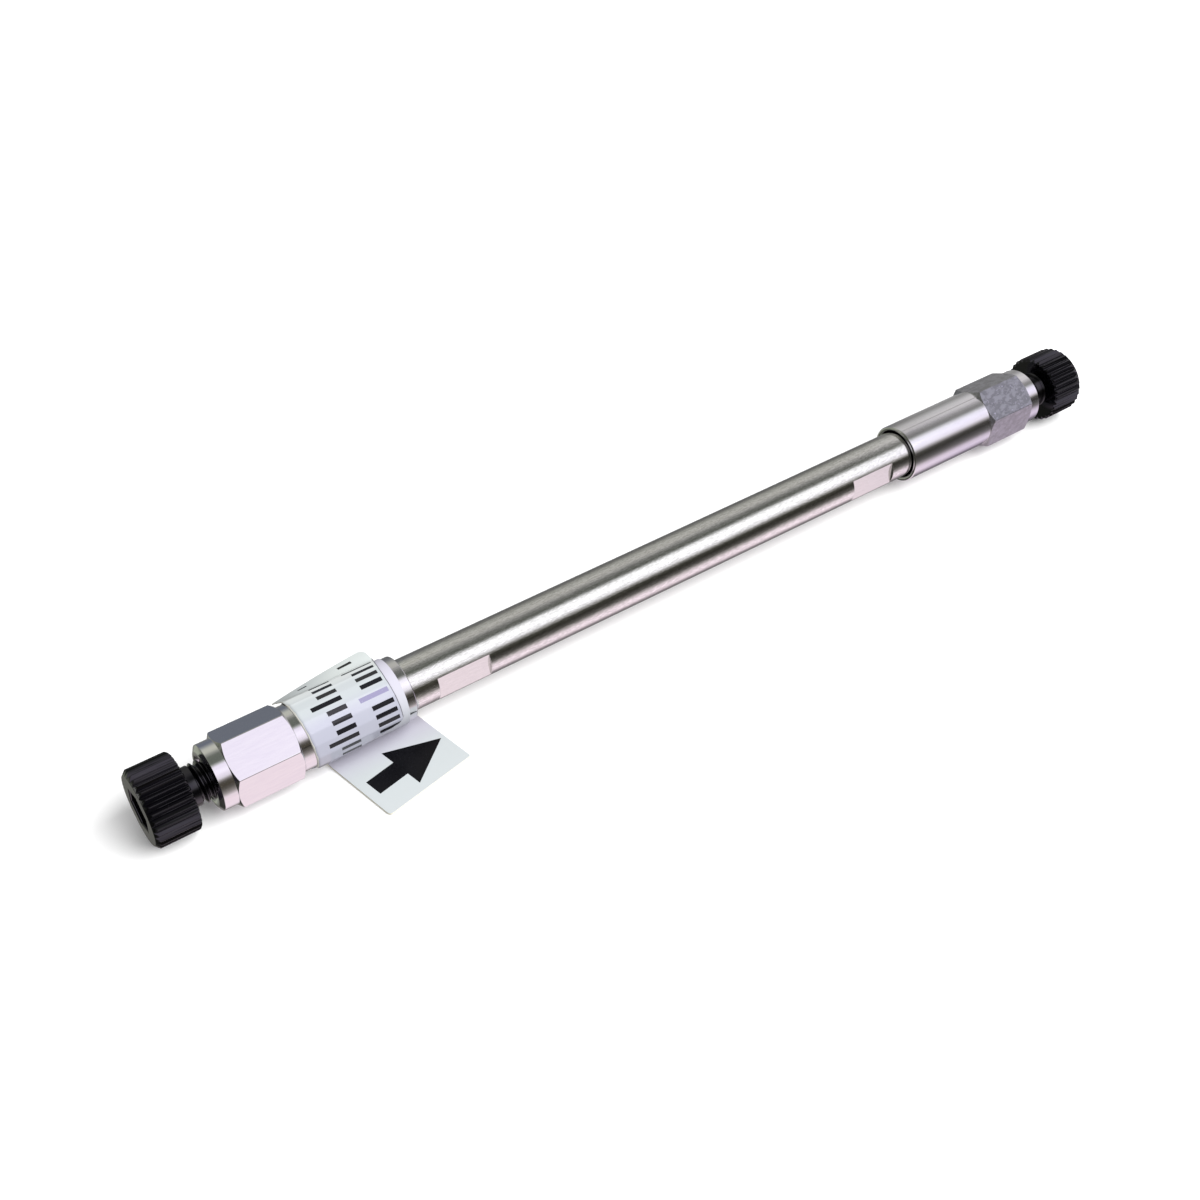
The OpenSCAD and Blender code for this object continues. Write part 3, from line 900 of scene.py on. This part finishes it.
# The label's near edge hugs the sleeve: the share of its width that does, and how deep.
HUG_SHARE = 0.03
HUG_DEPTH = 0.165
LABEL_CORNER = 0.9
# How far along the column the loose end slants back on its near and its far side.
LOOSE_SLANT_NEAR = 0.5
LOOSE_SLANT_FAR = 0.25


def facet_rise(degrees):
    """How far the film stands off between two of its soft folds."""
    for high, low in zip(FOLDS, FOLDS[1:]):
        if low <= degrees <= high:
            half = math.radians(high - low) / 2
            off = math.radians(abs(degrees - (high + low) / 2))
            return LABEL_R * (1 / math.cos(min(off, half)) - 1) * FLAT_SHARE
    return 0.0


def edge_hug(degrees, share):
    """How much the film hugs the sleeve, from 1 at its near edge; none at the crease."""
    return max(0.0, 1 - share / HUG_SHARE) ** 2 * clamped((degrees - HUG_END) / HUG_FADE)


def corner_cut(inward):
    """How much a rounded corner takes off an end, so far inward from the label's far edge."""
    short = max(0.0, LABEL_CORNER - inward)
    return LABEL_CORNER - math.sqrt(LABEL_CORNER ** 2 - short ** 2)


def label_flare(degrees, share):
    """How far the label spreads towards the outlet where it nears its crease."""
    near_crease = clamped((FLARE_START - degrees) / (FLARE_START - CREASE))
    return (0.2 + 0.9 * share) * near_crease ** 2


def wrap_spot(share, way):
    """A place on the label's wrap, the way out from it and its UV.

    Share goes from the near edge to the far one, way from the slanted start to the crease.
    """
    start = between(LABEL_START_NEAR, LABEL_START_FAR, share)
    start -= math.degrees(corner_cut((1 - share) * LABEL_W) / LABEL_R)
    degrees = between(start, CREASE, way)
    shift = LABEL_CREEP * (degrees - CREASE) / 90 + label_flare(degrees, share)
    hug = edge_hug(degrees, share)
    rise = facet_rise(degrees) * (1 - hug) - HUG_DEPTH * hug
    place = on_wrap(LABEL_FROM + shift + LABEL_W * share, LABEL_R + rise, degrees)
    return place, (math.radians(LABEL_START_NEAR - degrees) * LABEL_R, LABEL_W * share)


def loose_spot(share, way):
    """The same on the loose end, which leaves the crease at its lift and bends back a little."""
    lift = between(LIFT_NEAR, LIFT_FAR, share)
    curl = between(CURL_NEAR, CURL_FAR, share)
    length = (LOOSE_LEN - corner_cut((1 - share) * LABEL_W)) * way
    shift = label_flare(CREASE, share) - between(LOOSE_SLANT_NEAR, LOOSE_SLANT_FAR, share) * way
    bend_r = 180 / (math.pi * curl)
    heading = lift - curl * length
    run = bend_r * (sin_deg(lift) - sin_deg(heading))
    rise = bend_r * (cos_deg(heading) - cos_deg(lift))
    start, out = on_wrap(LABEL_FROM + shift + LABEL_W * share, LABEL_R + rise, CREASE)
    along = Vector((0, -cos_deg(CREASE), -sin_deg(CREASE)))
    place = (start + run * along, cos_deg(heading) * out - sin_deg(heading) * along)
    wrapped = math.radians(LABEL_START_NEAR - CREASE) * LABEL_R
    return place, (wrapped + length, LABEL_W * share)


def wrapped_label(finish):
    """The label's wrap, then its loose end, with closer columns at the hug and the corners."""
    wrap_rows, loose_rows = 150, 24
    shares = [0.0, 0.008, 0.016, 0.024, 0.035] + [i / 20 for i in range(1, 19)]
    shares += [1 - LABEL_CORNER / LABEL_W * (1 - i / 10) ** 2 for i in range(11)]
    spots = [[wrap_spot(share, i / wrap_rows) for share in shares] for i in range(wrap_rows)]
    spots += [[loose_spot(share, i / loose_rows) for share in shares]
              for i in range(loose_rows + 1)]
    grid = [[place for place, _ in row] for row in spots]
    marks = [[mark for _, mark in row] for row in spots]
    return build("label", [sheet_mesh(grid, marks)], finish, even_shading=False, crease=50)


# Where the tag starts, turns to creep fast and leaves the sleeve, in the same degrees.
TAG_START = -28.0
TAG_TURN = -205.0
TAG_LEAVE = 20.0 - 360
# Where the tag lies under the label its near edge stays this far inside the label's.
TUCK = 0.45
TUCK_FADE_BACK = 14.0
TUCK_FADE_FRONT = 8.0


def tag_creep(degrees):
    """How far the tag has crept along the sleeve, fast once it is past its turn."""
    turns = (degrees - TAG_TURN) / 90
    return turns * turns * (0.75 if degrees < TAG_TURN else 0.022)


def tag_tuck(degrees, start):
    """How far the tag's near edge draws in to stay under the label."""
    covered = clamped((degrees - CREASE) / TUCK_FADE_BACK + 1)
    covered *= clamped((LABEL_START_NEAR - degrees) / TUCK_FADE_FRONT + 1)
    edge = LABEL_FROM + TUCK + LABEL_CREEP * (degrees - CREASE) / 90
    return max(0.0, edge - start) * covered


def tag_wrap():
    """The tag's turn round the sleeve and its way down to the flag."""
    rows, cols = 140, 10
    grid = []
    for i in range(rows + 1):
        degrees = between(TAG_START, TAG_LEAVE, i / rows)
        start = TAG_FROM + tag_creep(degrees)
        end = start + TAG_W
        start += tag_tuck(degrees, start)
        grid.append([on_wrap(between(start, end, j / cols), TAG_R, degrees)
                     for j in range(cols + 1)])
    drop = FLAG_TOP - FLAG_T / 2 + TAG_R * cos_deg(TAG_LEAVE)
    skew = math.tan(math.radians(FLAG_SKEW))
    down = Vector((skew, -cos_deg(TAG_LEAVE), -sin_deg(TAG_LEAVE))) * -drop / sin_deg(TAG_LEAVE)
    last = grid[-1]
    for share in (0.33, 0.66, 1.0):
        grid.append([(point + down * share, out) for point, out in last])
    return sheet_mesh(grid)


def flag_outline():
    """The flag from above, before its skew: square at its root, rounded at its end."""
    outline = []
    corners = ((1, FLAG_ROOT, 0.0), (-1, FLAG_ROOT, 0.0),
               (-1, -FLAG_LEN, FLAG_CORNER), (1, -FLAG_LEN, FLAG_CORNER / 2))
    for side, end, rounding in corners:
        corner = Vector((side * TAG_W / 2, end))
        if not rounding:
            outline.append(corner)
            continue
        centre = corner + Vector((-side * rounding, rounding))
        first = 180 if side < 0 else 270
        steps = 8
        for k in range(steps + 1):
            turn = first + 90 * k / steps
            outline.append(centre + Vector((cos_deg(turn), sin_deg(turn))) * rounding)
    return outline


def tag_flag():
    """The doubled flag, flat on the floor, with softened rims."""
    skew = Matrix.Rotation(math.radians(FLAG_SKEW), 2)
    middle = TAG_FROM + TAG_W / 2 + FLAG_SHIFT
    body = bmesh.new()
    loops = []
    for z, shrink in ((FLAG_BOTTOM, FLAG_EDGE), (FLAG_BOTTOM + FLAG_EDGE, 0.0),
                      (FLAG_TOP - FLAG_EDGE, 0.0), (FLAG_TOP, FLAG_EDGE)):
        loop = []
        for p in flag_outline():
            inner = Vector((p.x * (1 - shrink / (TAG_W / 2)), p.y * (1 - shrink / FLAG_LEN)))
            spot = skew @ inner
            loop.append(body.verts.new(Vector((middle + spot.x, spot.y, z)) * MM))
        loops.append(loop)
    for low, high in zip(loops, loops[1:]):
        for i in range(len(low)):
            k = (i + 1) % len(low)
            body.faces.new((low[i], low[k], high[k], high[i]))
    body.faces.new(loops[0][::-1])
    body.faces.new(loops[-1])
    flag = bpy.data.meshes.new("flag")
    body.to_mesh(flag)
    body.free()
    return flag


def flow_tag(finish):
    """The tag under the label and the flag that it ends in."""
    return build("tag", [tag_wrap(), tag_flag()], finish, even_shading=False, crease=35)


# ---- surroundings -------------------------------------------------------

# What polished metal sees along the tube, by height in degrees: 0 is the front's horizon,
# 90 is overhead, 180 is the back's horizon and negative heights lie below the front's.
STUDIO = (
    (-180, (0.19, 0.19, 0.18)), (-166, (0.14, 0.14, 0.14)), (-156, (0.20, 0.20, 0.20)),
    (-144, (0.23, 0.23, 0.23)), (-120, (0.22, 0.22, 0.22)), (-106, (0.21, 0.20, 0.205)),
    (-96, (0.24, 0.22, 0.23)), (-84, (0.50, 0.43, 0.465)), (-72, (1.05, 0.90, 0.98)),
    (-58, (1.18, 1.02, 1.12)), (-47, (1.10, 0.95, 1.03)), (-35, (0.62, 0.56, 0.57)),
    (-24, (0.18, 0.17, 0.16)), (-12, (0.068, 0.065, 0.058)), (0, (0.033, 0.031, 0.025)),
    (12, (0.08, 0.078, 0.066)), (21, (0.38, 0.37, 0.36)), (30, (1.10, 1.09, 1.13)),
    (48, (1.55, 1.55, 1.60)), (67, (1.30, 1.30, 1.33)), (76, (0.45, 0.46, 0.45)),
    (83, (0.14, 0.145, 0.13)), (92, (0.165, 0.17, 0.157)), (104, (0.25, 0.25, 0.24)),
    (114, (0.46, 0.455, 0.44)), (130, (0.57, 0.56, 0.53)), (146, (0.50, 0.50, 0.47)),
    (160, (0.38, 0.38, 0.35)), (172, (0.23, 0.23, 0.22)), (180, (0.19, 0.19, 0.18)),
)
# The same as seen by the inlet's fitting, where the room behind is darker and bluer.
STUDIO_LEFT = (
    (-180, (0.17, 0.19, 0.23)), (-140, (0.26, 0.26, 0.24)), (-112, (0.28, 0.26, 0.25)),
    (-98, (0.85, 0.75, 0.80)), (-88, (1.12, 0.97, 1.04)), (-52, (1.15, 0.98, 1.04)),
    (-36, (1.05, 0.92, 0.97)), (-26, (0.50, 0.46, 0.44)), (-16, (0.26, 0.24, 0.22)),
    (-6, (0.12, 0.11, 0.095)), (6, (0.08, 0.07, 0.05)), (18, (0.10, 0.09, 0.075)),
    (25, (0.40, 0.37, 0.36)), (31, (0.98, 0.93, 1.01)), (40, (1.10, 1.02, 1.15)),
    (50, (1.28, 1.21, 1.36)), (70, (1.14, 1.07, 1.22)), (77, (0.50, 0.52, 0.48)),
    (83, (0.16, 0.18, 0.15)), (109, (0.17, 0.185, 0.155)), (120, (0.42, 0.43, 0.38)),
    (131, (0.66, 0.67, 0.57)), (144, (0.62, 0.63, 0.55)), (154, (0.38, 0.40, 0.39)),
    (166, (0.19, 0.21, 0.25)), (180, (0.17, 0.19, 0.23)),
)
# The same as seen by the outlet's fitting.
STUDIO_RIGHT = (
    (-180, (0.34, 0.34, 0.33)), (-144, (0.42, 0.42, 0.42)), (-110, (0.20, 0.19, 0.21)),
    (-96, (0.21, 0.18, 0.22)), (-80, (0.64, 0.55, 0.68)), (-64, (0.93, 0.81, 0.98)),
    (-48, (0.78, 0.68, 0.81)), (-32, (0.23, 0.21, 0.22)), (-16, (0.105, 0.103, 0.099)),
    (0, (0.048, 0.044, 0.042)), (12, (0.09, 0.085, 0.077)), (21, (0.55, 0.52, 0.52)),
    (29, (1.06, 1.00, 1.12)), (48, (1.20, 1.15, 1.34)), (62, (1.05, 1.03, 1.15)),
    (70, (0.60, 0.60, 0.62)), (78, (0.28, 0.285, 0.27)), (88, (0.34, 0.335, 0.33)),
    (96, (0.47, 0.46, 0.46)), (110, (0.80, 0.78, 0.79)), (128, (0.82, 0.80, 0.80)),
    (144, (0.72, 0.715, 0.71)), (160, (0.46, 0.46, 0.45)), (176, (0.32, 0.32, 0.31)),
    (180, (0.34, 0.34, 0.33)),
)
# The same as seen from further round at the outlet's end: the sight lines turn to the inlet,
# and low at the back the room is dark.
STUDIO_END = (
    (-180, (0.20, 0.20, 0.19)), (-168, (0.22, 0.23, 0.20)), (-160, (0.42, 0.45, 0.36)),
    (-140, (0.42, 0.45, 0.36)), (-130, (0.08, 0.085, 0.07)), (-116, (0.04, 0.042, 0.034)),
    (-98, (0.05, 0.05, 0.045)), (-88, (0.45, 0.40, 0.43)), (-72, (1.00, 0.88, 0.94)),
    (-48, (1.00, 0.88, 0.94)), (-34, (0.55, 0.50, 0.51)), (-22, (0.17, 0.16, 0.15)),
    (0, (0.045, 0.042, 0.036)), (14, (0.08, 0.077, 0.066)), (22, (0.38, 0.37, 0.36)),
    (32, (1.05, 1.03, 1.08)), (50, (1.40, 1.38, 1.44)), (68, (1.15, 1.13, 1.18)),
    (77, (0.45, 0.46, 0.44)), (84, (0.16, 0.165, 0.15)), (104, (0.22, 0.22, 0.20)),
    (116, (0.45, 0.45, 0.41)), (132, (0.56, 0.56, 0.50)), (148, (0.48, 0.48, 0.44)),
    (164, (0.28, 0.28, 0.26)), (180, (0.20, 0.20, 0.19)),
)
# What the hexagons' bevels see, nearly along the column: a dark room.
STUDIO_DEEP = (
    (-180, (0.12, 0.13, 0.10)), (-160, (0.42, 0.45, 0.36)), (-140, (0.42, 0.45, 0.36)),
    (-130, (0.08, 0.085, 0.07)), (-116, (0.04, 0.042, 0.034)), (70, (0.06, 0.062, 0.05)),
    (120, (0.16, 0.17, 0.13)), (180, (0.12, 0.13, 0.10)),
)
# These bands from the inlet's side to the outlet's, and where each gives way to the next, by
# how far the sight line turns along the column: -1 is straight to the inlet, 1 to the outlet.
STUDIO_BANDS = (STUDIO_DEEP, STUDIO_END, STUDIO_LEFT, STUDIO, STUDIO_RIGHT)
STUDIO_CHANGES = ((-0.66, -0.56), (-0.30, -0.08), (0.22, 0.32), (0.60, 0.645))
# A bright window low at the back on the inlet's side, for bevels that face it.
WINDOW_AIM = (-0.853, 0.494, -0.168)
WINDOW_REACH = math.cos(math.radians(10))
# The dome's radius and its middle along the column, in metres.
DOME_R = 3.0
DOME_X = 0.06


def studio_glow():
    """The dome's bands of light and dark, from the tables above."""
    glow = bpy.data.materials.new("studio_glow")
    glow.use_nodes = True
    tree = glow.node_tree
    tree.nodes.clear()
    x, y, z = split(tree, tree.nodes.new("ShaderNodeTexCoord").outputs["Object"])
    height = z.math("ARCTAN2", -y) / math.tau + 0.5
    ramps = []
    for stops in STUDIO_BANDS:
        node = tree.nodes.new("ShaderNodeValToRGB")
        ramp = node.color_ramp
        for _ in stops[2:]:
            ramp.elements.new(0.5)
        for stop, (degrees, colour) in zip(ramp.elements, stops):
            stop.position = degrees / 360 + 0.5
            stop.color = (*colour, 1.0)
        feed(tree, node.inputs[0], height)
        ramps.append(Sum(tree, node.outputs[0]))
    sideways, back, up = (x - DOME_X) / DOME_R, y / DOME_R, z / DOME_R
    seen = ramps[0]
    for ramp, (low, high) in zip(ramps[1:], STUDIO_CHANGES):
        seen = mixed(tree, sideways.eased(low, high), seen, ramp)
    window = sideways * WINDOW_AIM[0] + back * WINDOW_AIM[1] + up * WINDOW_AIM[2]
    in_window = window.eased(WINDOW_REACH - 0.006, WINDOW_REACH + 0.006)
    seen = mixed(tree, in_window, seen, (1.5, 1.5, 1.4))
    light = tree.nodes.new("ShaderNodeEmission")
    feed(tree, light.inputs[0], seen)
    out = tree.nodes.new("ShaderNodeOutputMaterial")
    tree.links.new(light.outputs[0], out.inputs[0])
    glow.cycles.emission_sampling = "NONE"
    return glow


def studio_dome():
    """A dome that only reflections see."""
    body = bmesh.new()
    bmesh.ops.create_uvsphere(body, u_segments=64, v_segments=32, radius=DOME_R)
    bmesh.ops.translate(body, verts=body.verts, vec=(DOME_X, 0, 0))
    mesh = bpy.data.meshes.new("studio_dome")
    body.to_mesh(mesh)
    body.free()
    mesh.materials.append(studio_glow())
    dome = shown("studio_dome", mesh)
    dome.visible_camera = False
    dome.visible_diffuse = False
    dome.visible_transmission = False
    dome.visible_volume_scatter = False
    dome.visible_shadow = False


def floor():
    """A plain pale floor, out of the metal's reflections, which the dome gives."""
    reach = 2.5
    mesh = bpy.data.meshes.new("floor")
    z = FLOOR_Z * MM
    corners = [(-reach, -reach, z), (reach, -reach, z), (reach, reach, z), (-reach, reach, z)]
    mesh.from_pydata(corners, [], [(0, 1, 2, 3)])
    plane = shown("floor", mesh)
    pale = Finish("pale_floor", (0.90, 0.90, 0.90), 0.9)
    pale.set("Specular IOR Level", 0.0)
    mesh.materials.append(pale.material)
    plane.visible_glossy = False
    plane.visible_diffuse = False


def lights():
    """An even white fill all round and one broad sun; neither shows in reflections."""
    fill, sun = 0.62, 4.85
    world = bpy.data.worlds.new("studio")
    bpy.context.scene.world = world
    world.use_nodes = True
    back = world.node_tree.nodes["Background"]
    back.inputs[0].default_value = (1, 1, 1, 1)
    back.inputs[1].default_value = fill
    world.cycles_visibility.glossy = False
    data = bpy.data.lights.new("soft_key", "SUN")
    data.energy = sun
    data.angle = math.radians(60)
    key = shown("soft_key", data)
    aim = -Vector((0.50, -0.50, 0.70))
    key.rotation_mode = "QUATERNION"
    key.rotation_quaternion = aim.to_track_quat("-Z", "Y")
    key.visible_glossy = False
    bpy.context.scene.view_settings.view_transform = "Standard"


# ---- the column ---------------------------------------------------------

place_camera()
lights()
floor()
studio_dome()

tube_finish = drawn_steel()
fitting_finish = turned_steel()
plug_finish = moulded_black()
flutes, thread = flute_tree(), thread_tree()

made = [
    (column_tube(tube_finish), "column", "column_tube", "steel_tube"),
    (end_fitting("inlet_fitting", INLET_HEX_TURN, fitting_finish, thread),
     "column", "inlet_end_fitting", "steel_fitting"),
    (end_fitting("outlet_fitting", OUTLET_HEX_TURN, fitting_finish, thread, at_outlet=True),
     "column", "outlet_end_fitting", "steel_fitting"),
    (shipping_plug("inlet_stopper", plug_finish, flutes, thread),
     "inlet_plug", "inlet_plug", "black_plastic"),
    (shipping_plug("outlet_stopper", plug_finish, flutes, thread, at_outlet=True),
     "outlet_plug", "outlet_plug", "black_plastic"),
    (wrapped_label(label_film()), "column", "wrapped_label", "label_paper"),
    (flow_tag(tag_card()), "column", "flow_tag", "tag_paper"),
]
for piece, body, node, slot in made:
    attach(piece, body)
    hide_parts(node)

inner_finishes = {
    "packed_bed": packed_powder(),
    "inlet_frit": sintered_metal(), "outlet_frit": sintered_metal(),
    "inlet_frit_ring": seal_plastic(), "outlet_frit_ring": seal_plastic(),
}
for node, finish in inner_finishes.items():
    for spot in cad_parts[node].material_slots:
        spot.material = finish
